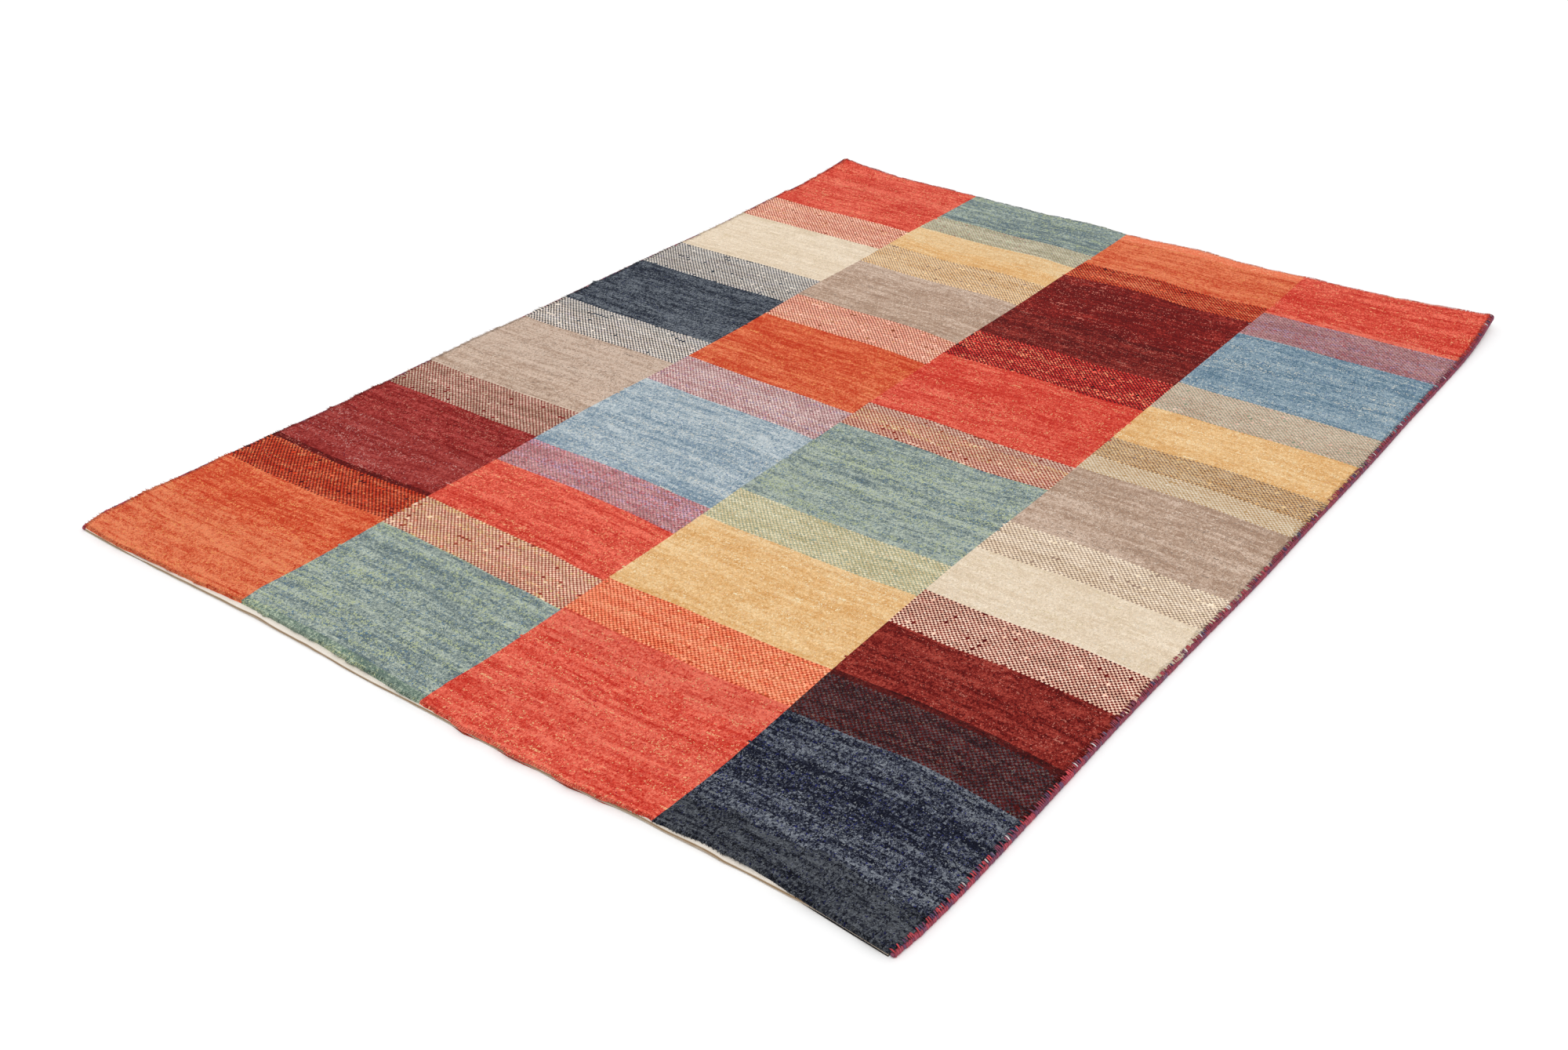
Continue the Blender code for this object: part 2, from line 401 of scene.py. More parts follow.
# Wool dyes, as seen in daylight: darker and lighter dips of the same dye, and two colours of stray strands.
# Then how much the dips differ in streaks, in patches and from knot to knot, and the strays' share
Dye = namedtuple("Dye", "name dark light stray_a stray_b streaks mottle grain strays")
DYES = (
    Dye("coral", (191, 44, 32), (246, 123, 100), (240, 170, 124), (188, 40, 50), 1.0, 1.0, 1.0, 0.06),
    Dye("cream", (217, 194, 165), (248, 231, 208), (216, 196, 160), (226, 214, 196), 0.8, 0.8, 0.8, 0.06),
    Dye("navy", (18, 24, 37), (119, 125, 132), (126, 132, 138), (36, 40, 84), 1.0, 1.0, 1.2, 0.05),
    Dye("indigo", (15, 18, 34), (127, 132, 140), (112, 116, 120), (34, 38, 96), 1.3, 0.8, 1.4, 0.08),
    Dye("taupe", (159, 129, 108), (222, 197, 178), (150, 130, 116), (222, 204, 186), 1.0, 0.8, 0.9, 0.08),
    Dye("wine", (108, 6, 3), (183, 78, 73), (200, 122, 106), (100, 24, 40), 1.0, 0.8, 1.0, 0.06),
    Dye("orange", (191, 56, 28), (238, 137, 95), (236, 152, 92), (192, 44, 40), 1.2, 1.0, 1.0, 0.06),
    Dye("teal", (92, 107, 111), (185, 195, 180), (178, 188, 146), (92, 122, 148), 1.1, 1.0, 1.1, 0.16),
    Dye("gold", (215, 158, 94), (247, 212, 162), (246, 226, 186), (222, 172, 132), 0.9, 0.9, 0.9, 0.06),
    Dye("sky", (106, 130, 148), (206, 214, 216), (210, 208, 198), (104, 126, 160), 0.9, 0.9, 1.0, 0.08),
    Dye("maroon", (81, 0, 0), (172, 72, 60), (186, 108, 94), (70, 8, 18), 1.0, 0.8, 1.0, 0.05),
    Dye("oxblood", (48, 4, 8), (104, 32, 28), (112, 66, 58), (40, 12, 28), 0.8, 0.8, 1.0, 0.04),
    Dye("blush", (206, 158, 136), (246, 214, 192), (244, 220, 200), (210, 140, 124), 0.8, 0.8, 1.0, 0.08),
    Dye("sage", (152, 158, 128), (206, 208, 178), (208, 202, 166), (120, 144, 144), 0.8, 0.8, 1.0, 0.10),
    Dye("apricot", (234, 115, 78), (255, 167, 132), (250, 196, 150), (220, 90, 66), 0.8, 0.8, 1.0, 0.08),
    Dye("mauve", (119, 21, 18), (180, 82, 76), (200, 134, 126), (108, 30, 48), 1.0, 0.8, 1.0, 0.08),
    Dye("salmon", (232, 162, 140), (255, 206, 184), (250, 206, 180), (224, 120, 104), 1.4, 1.4, 1.7, 0.08),
    Dye("peach", (190, 154, 126), (240, 208, 182), (216, 202, 138), (240, 134, 112), 0.8, 0.8, 1.0, 0.12),
    Dye("copper", (152, 68, 42), (196, 120, 92), (222, 150, 66), (196, 66, 62), 1.4, 1.4, 1.7, 0.12),
    Dye("brick", (142, 42, 28), (196, 94, 80), (226, 150, 84), (170, 40, 50), 0.8, 0.8, 1.0, 0.12),
    Dye("walnut", (140, 102, 80), (204, 172, 150), (228, 190, 140), (130, 96, 90), 1.4, 1.4, 1.7, 0.10),
    Dye("dusk", (188, 150, 146), (226, 202, 198), (226, 208, 190), (190, 130, 150), 1.1, 1.5, 1.3, 0.14),
    Dye("heather", (144, 96, 98), (190, 154, 150), (146, 128, 168), (184, 66, 84), 1.3, 1.6, 1.6, 0.2),
    Dye("rose", (168, 108, 112), (212, 158, 160), (206, 166, 186), (196, 86, 92), 1.3, 1.6, 1.6, 0.2),
    Dye("straw", (190, 172, 128), (226, 212, 176), (222, 216, 190), (196, 164, 128), 1.4, 1.4, 1.7, 0.10),
    Dye("plum", (26, 18, 24), (96, 80, 82), (112, 98, 88), (96, 26, 40), 0.8, 0.9, 1.1, 0.06),
    Dye("silver", (200, 184, 170), (250, 240, 228), (210, 196, 206), (184, 184, 176), 0.8, 0.8, 1.0, 0.08),
    Dye("madder", (150, 24, 24), (222, 84, 70), (232, 140, 104), (112, 8, 22), 1.2, 0.9, 2.0, 0.18),
    Dye("reed", (96, 114, 106), (184, 198, 174), (194, 202, 156), (92, 122, 104), 1.1, 1.2, 1.2, 0.16),
    Dye("azure", (78, 108, 129), (171, 187, 195), (206, 206, 196), (86, 112, 152), 0.9, 0.9, 1.0, 0.08),
)
DYE_NUMBER = {dye.name: number for number, dye in enumerate(DYES)}
WOOL_SEED = 11
SEEDS = {"chart": 0, "furrows": 1, "crowns": 2, "locks": 3,
         "hem": 20, "cord": 40, "stitches": 60, "rim": 80}
STUDIO_LIGHT = 1.15       # how much brighter the studio is than the daylight that the dyes are named in
DISPLAY_GAMMA = 2.2

# Noise of the dips
STREAK_WAVES = (
    Wave(1, 8, 0.13),
    Wave(1.2, 40, 0.13),
    Wave(2.5, 160, 0.10),
)
MOTTLE_WAVES = (
    Wave(2.5, 5, 0.09),
    Wave(6, 14, 0.08),
    Wave(24, 60, 0.07),
)
KNOT_GRAIN = 0.13         # spread of the dip from knot to knot
STRAY_WAVE = Wave(1.6, 24, 0.8)
STRAY_LEAN = 0.35         # how far the waves of stray strands decide which of the two colours they have
STRAY_SHARES = (0.2, 1.8)      # least and greatest share of a dye's strays
DASH_WAVE = Wave(1, 9, 2.8)    # short runs of the lighter stray strands, and how rare they are
DASH_STRAYS = 0.6         # share of strays in them

# Finish of all the wool
WOOL_ROUGHNESS = 0.95
WOOL_GLOSS = 0.05
WOOL_SHEEN = 0.03
WOOL_SHEEN_ROUGHNESS = 0.6
ENDS_A_KNOT = 2.2         # ends of yarn across a knot
ENDS_SCATTER = 0.85
ENDS_DIP = 0.7            # range of their dips, by the dye's grain
ENDS_TONE = 0.24          # and of their tones
FIBRES_A_KNOT = 6.0
FIBRE_SHADE = (0.85, 0.3) # tone of the darkest fibres, and how much lighter the lightest are
WEFT_SHOWS = 0.3          # share of each row of the back that is weft

# Other wools
CORD_YARNS = ((196, 72, 78), (154, 70, 82), (82, 70, 102), (228, 212, 212))
# Painted shade on the cords' outer sides, away from the cloth
CORD_SHADED = (140, 82, 104)
HEM_CREAM = (246, 238, 228)
HEM_SHADE = (226, 212, 192)
# Brown painted shade on the face and underside of the hems' folds
HEM_FOLD_SHADE = (146, 120, 90)
HEM_CLOUDS = 40.0         # patches of shade in a metre
HEM_STRANDS = 900.0       # and strands

# Camera, at the photograph's viewing angle
CAMERA_AT = (1.47518, -2.17012, 1.36734)
CAMERA_AIM = (0.10580, -0.35422, 0.0)
CAMERA_ROLL = -0.301      # degrees
CAMERA_LENS = 40.07       # millimetres, on a sensor 36 wide
CAMERA_SENSOR = 36.0
CAMERA_SEES = 100.0

# Light and floor
FLOOR_SPAN = 30.0
FLOOR_WHITE = (0.9, 0.9, 0.9, 1.0)
SKY_STRENGTH = 0.85
KEY_FROM = (0.5, -0.5, 1.3)
KEY_STRENGTH = 1.15
KEY_SOFTNESS = 50.0       # degrees that the light spans


def seeded(kind, word=""):
    """Random draws for one kind of piece, and for one end or side of it."""
    return np.random.default_rng(WOOL_SEED + SEEDS[kind] + sum(map(ord, word)))


def smooth_column(table, key, column, at):
    """Values of a table's column at some places, on one smooth curve through its rows."""
    places = np.array([getattr(row, key) for row in table]) * MM
    values = np.array([getattr(row, column) for row in table]) * MM
    at = np.clip(at, places[0], places[-1])
    i = np.clip(np.searchsorted(places, at) - 1, 0, len(places) - 2)
    low = np.maximum(np.arange(len(places)) - 1, 0)
    high = np.minimum(np.arange(len(places)) + 1, len(places) - 1)
    slopes = (values[high] - values[low]) / (places[high] - places[low])
    step = places[i + 1] - places[i]
    u = (at - places[i]) / step
    rise = values[i + 1] - values[i]
    start, end = slopes[i] * step, slopes[i + 1] * step
    return values[i] + u * (start + u * (3 * rise - 2 * start - end + u * (start + end - 2 * rise)))


CENTRE_X = (min(row.left for row in LONG_SIDES) + max(row.right for row in LONG_SIDES)) / 2 * MM
FRONTMOST = min(row.front for row in SHORT_ENDS) * MM
BACKMOST = max(row.back for row in SHORT_ENDS) * MM + BACK_HEM_SHOWS
CENTRE_Y = (FRONTMOST + BACKMOST) / 2


def front_fold(x):
    return smooth_column(SHORT_ENDS, "x", "front", x)


def pile_front(x):
    return front_fold(x) + smooth_column(SHORT_ENDS, "x", "hem_shows", x)


def pile_back(x):
    return smooth_column(SHORT_ENDS, "x", "back", x)


def back_fold(x):
    return pile_back(x) + BACK_HEM_SHOWS


def side_stations(side):
    """Corners of a long side's outline, in order along +Y."""
    x = smooth_column(LONG_SIDES, "y", side, 0.0)
    places = np.linspace(front_fold(x), back_fold(x), STEPS_ALONG + 1)
    return places, smooth_column(LONG_SIDES, "y", side, places)


STATIONS = {side: side_stations(side) for side in ("left", "right")}


def side_edge(side, y):
    """Outside of the cord on a long side."""
    return np.interp(y, *STATIONS[side])


def side_wall(side, y):
    """The cloth's edge beside its cord."""
    inward = 1 if side == "left" else -1
    return side_edge(side, y) + inward * (2 * CORD_FLAT + SEAM_GAP)


def lift(x, y):
    """Height of the underside above the floor: nothing but in the two curled far corners."""
    to_back = np.maximum(back_fold(x) - y, 0)
    height = 0.0
    for curl in CURLS:
        to_side = np.abs(x - side_edge(curl.side, y))
        height = height + curl.height * np.maximum(1 - (to_side + to_back) / curl.reach, 0) ** 2
    return height


def swell(x, y):
    """Slow unevenness of the clipped surface, always downwards from the pile's full height."""
    across = np.sin(2 * math.pi * (x + SWELL_START) / SWELL_ACROSS)
    along = np.sin(2 * math.pi * y / SWELL_ALONG)
    return -TOP_SWELL * (1 + across * along) / 2


def warps_bend(across, along):
    """How far the warps stray across the rug, as a share of its width."""
    places = (0, *COLUMN_MEETS, COLUMN_SPAN)
    from_back = (1 - along) * BLOCK_SPAN * MM
    bend = 0.0
    for number, key in enumerate(("first", "second", "third")):
        hat = np.interp(across, np.array(places) / COLUMN_SPAN, np.eye(len(places))[number + 1])
        meet = smooth_column(COLUMN_EDGES, "place", key, from_back) / MM
        bend = bend + hat * (meet - COLUMN_MEETS[number]) / COLUMN_SPAN
    return bend


def rows_stray(x, along):
    """How far the rows of knots stray along the rug: nothing at its ends."""
    waves = sum(
        wave.height * np.sin(2 * math.pi * (x / wave.across + 2 * along / wave.along + wave.start))
        for wave in ROW_WAVES
    )
    return waves * MM * np.clip(np.minimum(along, 1 - along) / ROW_WAVES_START, 0, 1)


def field_point(across, along):
    """Place in plan of a point of the pile, from its shares across and along it."""
    across = across + warps_bend(across, along)
    x = side_edge("left", 0) + across * (side_edge("right", 0) - side_edge("left", 0))
    y = pile_front(x) + along * (pile_back(x) - pile_front(x)) + rows_stray(x, along)
    from_rim = np.clip((y - pile_front(x)) / FRONT_RIM_REACH, 0, 1)
    spread = np.interp(x, *(np.array(FRONT_RIM).T * MM))
    y = y - spread * (1 - from_rim) ** 2
    left, right = side_wall("left", y), side_wall("right", y)
    return left + across * (right - left), y


def smooth_noise(rng, shape, waves):
    """Noise of unit spread on a grid, with a wavelength in cells along each axis."""
    field = rng.standard_normal(shape)
    spectrum = np.fft.rfft2(field)
    rows = np.fft.fftfreq(shape[0])[:, None] * waves[0]
    columns = np.fft.rfftfreq(shape[1])[None, :] * waves[1]
    spectrum *= np.exp(-(rows ** 2 + columns ** 2) * 2)
    field = np.fft.irfft2(spectrum, s=shape)
    return (field - field.mean()) / field.std()


def linear(colour):
    """A colour seen in daylight, 0 to 255, as the share of the studio's light that it sends back."""
    share = np.array(colour) / 255
    light = np.where(share <= 0.04045, share / 12.92, ((share + 0.055) / 1.055) ** 2.4)
    return tuple(light / STUDIO_LIGHT) + (1.0,)


def brightness(name):
    """Lightness of a dye, 0 to 255."""
    entry = DYES[DYE_NUMBER[name]]
    return (sum(entry.dark) + sum(entry.light)) / 6


Chart = namedtuple("Chart", "dye dip stray tone grain")


def chart_knots():
    """The dye of each knot, its dip, share of stray strands, tone and grain, row by row from the front."""
    rng = seeded("chart")
    shape = (KNOT_ROWS, KNOTS_ACROSS)
    row, place = np.mgrid[0:KNOT_ROWS, 0:KNOTS_ACROSS]
    from_back = (1 - (row + 0.5) / KNOT_ROWS) * BLOCK_SPAN
    across = (place + 0.5) / KNOTS_ACROSS * COLUMN_SPAN
    jag = rng.choice([-1, 0, 1], (KNOT_ROWS, 1), p=[COLUMN_JAG / 2, 1 - COLUMN_JAG, COLUMN_JAG / 2])
    column = np.sum([across + jag * COLUMN_SPAN / KNOTS_ACROSS > meet for meet in COLUMN_MEETS], axis=0)

    turn = (row + place) % 2
    turn = np.where(rng.random(shape) < WRONG_KNOTS, 1 - turn, turn)
    runs = smooth_noise(rng, shape, MIX_RUN[:2])
    turn = np.where(runs > MIX_RUN.strength, 0, np.where(runs < -MIX_RUN.strength, 1, turn))

    dye = np.zeros(shape, int)
    tone = np.zeros(shape)
    lot = np.zeros(shape)
    varied = np.ones(shape)
    ragged = smooth_noise(rng, shape, LOT_FEATHER_WAVE) * LOT_FEATHER
    for number, bands in enumerate(BLOCKS):
        start = np.full(shape, -1.0)
        for band, after in zip(bands, bands[1:] + (None,)):
            same = after and (band.first, band.second) == (after.first, after.second)
            end = np.full(shape, band.until if after else BLOCK_SPAN + 1.0) + ragged * bool(same)
            here = (column == number) & (from_back >= start) & (from_back < end)
            pair = np.where(turn == 0, DYE_NUMBER[band.first], DYE_NUMBER[band.second])
            dye = np.where(here, pair, dye)
            apart = (brightness(band.first) - brightness(band.second)) / 255
            # Painted light and shade: one dye's knots lighter, the other's darker
            contrast = np.sign(apart) * MIX_CONTRAST[0] + apart * MIX_CONTRAST[1]
            contrast = np.clip(contrast, -MIX_CONTRAST_MOST, MIX_CONTRAST_MOST)
            lighter = contrast * (1 - 2 * turn)
            tone = np.where(here, (1 + LOTS[band.lot].tone) * (1 + lighter) - 1, tone)
            lot = np.where(here, LOTS[band.lot].dip, lot)
            varied = np.where(here & (band.first != band.second), MIX_VARIED, varied)
            start = end

    def layered(waves):
        return sum(np.tanh(smooth_noise(rng, shape, wave[:2])) * wave.strength for wave in waves)

    def of_dye(key):
        return np.array([getattr(entry, key) for entry in DYES])[dye]

    waves = layered(STREAK_WAVES) * of_dye("streaks") + layered(MOTTLE_WAVES) * of_dye("mottle")
    dip = 0.5 + lot + waves * varied + rng.standard_normal(shape) * KNOT_GRAIN * of_dye("grain")

    leaning = smooth_noise(rng, shape, STRAY_WAVE[:2]) * STRAY_WAVE.strength
    side = np.where(rng.random(shape) + leaning * STRAY_LEAN > 0.5, 1, -1)
    stray = of_dye("strays") * np.clip(1 + leaning, *STRAY_SHARES) * side
    stray = np.where(smooth_noise(rng, shape, DASH_WAVE[:2]) > DASH_WAVE.strength, DASH_STRAYS, stray)
    return Chart(dye, dip, stray, tone, of_dye("grain"))


def add_mesh(name, points, faces, material, values=None, maps=None):
    """A smooth-shaded object of points and faces, with values for faces and maps for their corners."""
    points, faces = np.asarray(points, float), np.asarray(faces)
    mesh = bpy.data.meshes.new(name)
    mesh.vertices.add(len(points))
    mesh.vertices.foreach_set("co", points.ravel().astype(np.float32))
    corners = faces.shape[1]
    mesh.loops.add(faces.size)
    mesh.loops.foreach_set("vertex_index", faces.ravel().astype(np.int32))
    mesh.polygons.add(len(faces))
    mesh.polygons.foreach_set("loop_start", np.arange(0, faces.size, corners, dtype=np.int32))
    for key, entry in (values or {}).items():
        entry = np.asarray(entry, np.float32)
        kind, field = ("FLOAT_VECTOR", "vector") if entry.ndim == 2 else ("FLOAT", "value")
        mesh.attributes.new(key, kind, "FACE").data.foreach_set(field, entry.ravel())
    for key, entry in (maps or {}).items():
        mesh.uv_layers.new(name=key).uv.foreach_set("vector", np.asarray(entry, np.float32).ravel())
    mesh.update(calc_edges=True)
    mesh.shade_smooth()
    mesh.materials.append(material)
    thing = bpy.data.objects.new(name, mesh)
    bpy.context.scene.collection.objects.link(thing)
    return thing


def to_part(x, y, z):
    """Points in the part's frame."""
    return np.stack([x - CENTRE_X, y - CENTRE_Y, z], axis=-1)


def grid_faces(index):
    """Four-sided faces of a grid of point numbers, as a grid of faces."""
    return np.stack([index[:-1, :-1], index[:-1, 1:], index[1:, 1:], index[1:, :-1]], axis=-1)


def folded_map(along, around, strips):
    """Map of a long strip, folded into rows that fill a square, from shares along and round it."""
    strip = np.floor(along.mean(axis=-1, keepdims=True) * strips)
    return np.stack([along * strips - strip, (strip + around) / strips], axis=-1)


def rim_offsets(end):
    """How far the pile's rim swells out at each furrow along it."""
    rng = seeded("rim", end)
    count = (KNOTS_ACROSS if end in SHORT else KNOT_ROWS) + 1
    billows = sum(
        smooth_noise(rng, (1, count), (1, billow.knots))[0] * billow.swelling
        for billow in RIM_BILLOWS
    )
    ragged = LEFT_RAGGED if end == "left" else 1
    return (billows + rng.uniform(-1, 1, count) * RIM_RAGGED) * ragged


def rim_of(grid, end):
    """The outermost points of a grid along one of its four edges."""
    return {"front": grid[0], "back": grid[-1], "left": grid[:, 0], "right": grid[:, -1]}[end]


OUTWARDS = {"front": (0, -1), "back": (0, 1), "left": (-1, 0), "right": (1, 0)}
SHORT = ("front", "back")


def furrow_points():
    """The corners between the knots over the whole pile, and the feet of the yarns at its rim."""
    rng = seeded("furrows")
    row, place = np.mgrid[0:KNOT_ROWS + 1, 0:KNOTS_ACROSS + 1].astype(float)
    x, y = field_point(place / KNOTS_ACROSS, row / KNOT_ROWS)
    inside = (row > 0) & (row < KNOT_ROWS) & (place > 0) & (place < KNOTS_ACROSS)
    x += rng.uniform(-1, 1, x.shape) * KNOT_SHIFT / 2 * inside
    y += rng.uniform(-1, 1, x.shape) * KNOT_SHIFT / 2 * inside
    rim_drop = np.where((row > 0) & (row < KNOT_ROWS), SIDE_RIM_DROP, PILE_TOP - PILE_SHOULDER)
    below = np.where(inside, KNOT_CROWN * rng.uniform(*FURROW_SHARES, x.shape), rim_drop)
    top = to_part(x, y, PILE_TOP + swell(x, y) + lift(x, y) - below)
    feet = {}
    for end, (across, along) in OUTWARDS.items():
        rim = rim_of(top, end)
        foot = rim.copy()
        height = END_SKIRT_FOOT if end in SHORT else SIDE_SKIRT_FOOT
        foot[:, 2] -= PILE_SHOULDER - height
        feet[end] = foot
        offset = rim_offsets(end) + SIDE_OVERHANG * abs(across)
        rim[:, 0] += across * offset
        rim[:, 1] += along * offset
    return top, feet


def crown_points():
    """The middle of each knot."""
    rng = seeded("crowns")
    row, place = np.mgrid[0:KNOT_ROWS, 0:KNOTS_ACROSS] + 0.5
    x, y = field_point(place / KNOTS_ACROSS, row / KNOT_ROWS)
    x = x + rng.uniform(-1, 1, x.shape) * KNOT_SHIFT
    y = y + rng.uniform(-1, 1, x.shape) * KNOT_SHIFT
    z = PILE_TOP + swell(x, y) + lift(x, y) - np.abs(rng.standard_normal(x.shape)) * KNOT_UNEVEN
    return to_part(x, y, z)


def wool_values(knots, chosen, repeat=1):
    """The chart's values for the faces of some knots."""
    dye, dip, stray, tone, grain = (np.repeat(field[chosen].ravel(), repeat) for field in knots)
    return {
        "wool": np.stack([(dye + 0.5) / len(DYES), dip, stray], axis=-1),
        # The tone includes the painted light and shade of the mixed bands
        "finish": np.stack([tone, grain, np.zeros(len(tone))], axis=-1),
    }


def rim_knots(end, rows=slice(None), places=slice(None)):
    """The outermost knots along one edge of the pile, for some rows or some places in a row."""
    return {
        "front": (slice(0, 1), places),
        "back": (slice(KNOT_ROWS - 1, KNOT_ROWS), places),
        "left": (rows, slice(0, 1)),
        "right": (rows, slice(KNOTS_ACROSS - 1, KNOTS_ACROSS)),
    }[end]


def build_tile(name, material, knots, furrows, crowns, feet, rows, places):
    """A tile of the knotted field: each knot with its raised middle, and a skirt where it meets the rim."""
    corner = furrows[rows.start:rows.stop + 1, places.start:places.stop + 1]
    crown = crowns[rows, places]
    index = np.arange(corner.shape[0] * corner.shape[1]).reshape(corner.shape[:2])
    middle = index.size + np.arange(crown.shape[0] * crown.shape[1]).reshape(crown.shape[:2])
    ring = grid_faces(index)
    fan = [np.stack([ring[..., k], ring[..., (k + 1) % 4], middle], axis=-1) for k in range(4)]
    faces = np.stack(fan, axis=2).reshape(-1, 3)
    points = [corner.reshape(-1, 3), crown.reshape(-1, 3)]
    grid_row, grid_place = np.mgrid[0:corner.shape[0], 0:corner.shape[1]].astype(float)
    mid_row, mid_place = np.mgrid[0:crown.shape[0], 0:crown.shape[1]] + 0.5
    knot_map = [
        np.stack([grid_place, grid_row], axis=-1).reshape(-1, 2),
        np.stack([mid_place, mid_row], axis=-1).reshape(-1, 2),
    ]
    values = [wool_values(knots, (rows, places), 4)]
    at_rim = {
        "front": rows.start == 0,
        "back": rows.stop == KNOT_ROWS,
        "left": places.start == 0,
        "right": places.stop == KNOTS_ACROSS,
    }
    used = index.size + middle.size
    for end in (end for end, there in at_rim.items() if there):
        span = places if end in SHORT else rows
        foot = feet[end][span.start:span.stop + 1]
        foot_index = used + np.arange(len(foot))
        used += len(foot)
        rim_index = rim_of(index, end)
        down = (foot_index, rim_index) if end in ("front", "right") else (rim_index, foot_index)
        quads = grid_faces(np.stack(down)).reshape(-1, 4)
        faces = np.concatenate([faces, quads[:, [0, 1, 2]], quads[:, [0, 2, 3]]])
        points.append(foot)
        outwards = np.array(OUTWARDS[end]) * SKIRT_MAP_DROP
        knot_map.append(rim_of(knot_map[0].reshape(corner.shape[:2] + (2,)), end) + outwards)
        values += [wool_values(knots, rim_knots(end, rows, places))] * 2
    values = {key: np.concatenate([entry[key] for entry in values]) for key in values[0]}
    knot_map = np.concatenate(knot_map)[faces]
    span = max(crown.shape) + 2 * MAP_MARGIN
    return add_mesh(name, np.concatenate(points), faces, material, values, {
        "OFBake": (knot_map + MAP_MARGIN) / span,
        "knots": knot_map,
    })


def build_pile(material, knots):
    """The knotted field in tiles."""
    furrows, feet = furrow_points()
    crowns = crown_points()
    tall, wide = KNOT_ROWS // TILES_ALONG, KNOTS_ACROSS // TILES_ACROSS
    tiles = []
    for half, word in enumerate(("near", "far")):
        for column in range(TILES_ACROSS):
            rows = slice(half * tall, (half + 1) * tall)
            places = slice(column * wide, (column + 1) * wide)
            name = f"pile_{word}_{column + 1}"
            tiles.append(build_tile(name, material, knots, furrows, crowns, feet, rows, places))
    return tiles


def strand_faces(rings, sides):
    """Faces of a strand of yarn: rings of corners, then its tip."""
    faces = []
    for ring in range(rings - 1):
        for k in range(sides):
            a, b = ring * sides + k, ring * sides + (k + 1) % sides
            faces += [(a, b, b + sides), (a, b + sides, a + sides)]
    last = (rings - 1) * sides
    return np.array(faces + [(last + k, last + (k + 1) % sides, last + sides) for k in range(sides)])


def build_locks(name, material, knots, end):
    """Locks of yarn along one edge of the pile, one a knot, leaning out over what lies beyond it."""
    rng = seeded("locks", end)
    across_end = end in SHORT
    count = KNOTS_ACROSS if across_end else KNOT_ROWS
    share = (np.arange(count) + 0.5) / count
    fixed = np.full(count, 1.0 if end in ("back", "right") else 0.0)
    x, y = field_point(share, fixed) if across_end else field_point(fixed, share)
    out = np.array(OUTWARDS[end], float)
    sideways = np.array([-out[1], out[0]])
    reach, tip_height = LOCK_TIPS[end]
    swelling = (rim_offsets(end)[1:] + rim_offsets(end)[:-1]) / 2
    base = np.stack([x, y], axis=-1) + out * swelling[:, None]
    floor = lift(x, y) + swell(x, y)
    drift = rng.uniform(-1, 1, count) * LOCK_SPREAD * LOCK_DRIFT
    rings = []
    for number, ring in enumerate(LOCK_RINGS):
        centre = base - out * ring.back + sideways * (drift * number / 2)[:, None]
        corners = []
        for k in range(LOCK_SIDES):
            turn = 2 * math.pi * (k + 0.25) / LOCK_SIDES
            wide = ring.width / 2 * math.cos(turn) * rng.uniform(*LOCK_WIDTHS, count)
            high = ring.width / 4 * math.sin(turn)
            plan = centre + sideways * wide[:, None]
            corners.append(to_part(plan[:, 0], plan[:, 1], floor + ring.height + high))
        rings.append(np.stack(corners, axis=1))
    tip_out = reach * rng.uniform(*LOCK_REACHES, count)
    tip = base + out * tip_out[:, None] + sideways * (drift * LOCK_TIP_DRIFT)[:, None]
    tip_z = floor + tip_height + rng.uniform(-1, 1, count) * LOCK_SPREAD / 2
    points = np.concatenate([*rings, to_part(tip[:, 0], tip[:, 1], tip_z)[:, None]], axis=1)
    size = points.shape[1]
    local = strand_faces(len(LOCK_RINGS), LOCK_SIDES)
    faces = (np.arange(count)[:, None, None] * size + local[None]).reshape(-1, 3)
    values = wool_values(knots, rim_knots(end), len(local))
    along = np.repeat(np.arange(count), size) + np.tile(np.linspace(0.1, 0.9, size), count)
    around = np.tile(np.linspace(0.1, 0.9, size), count)
    return add_mesh(name, points.reshape(-1, 3), faces, material, values, {
        "OFBake": folded_map(along[faces] / count, around[faces], LOCK_STRIPS),
        "knots": np.stack([along, around * 2], axis=-1)[faces],
    })


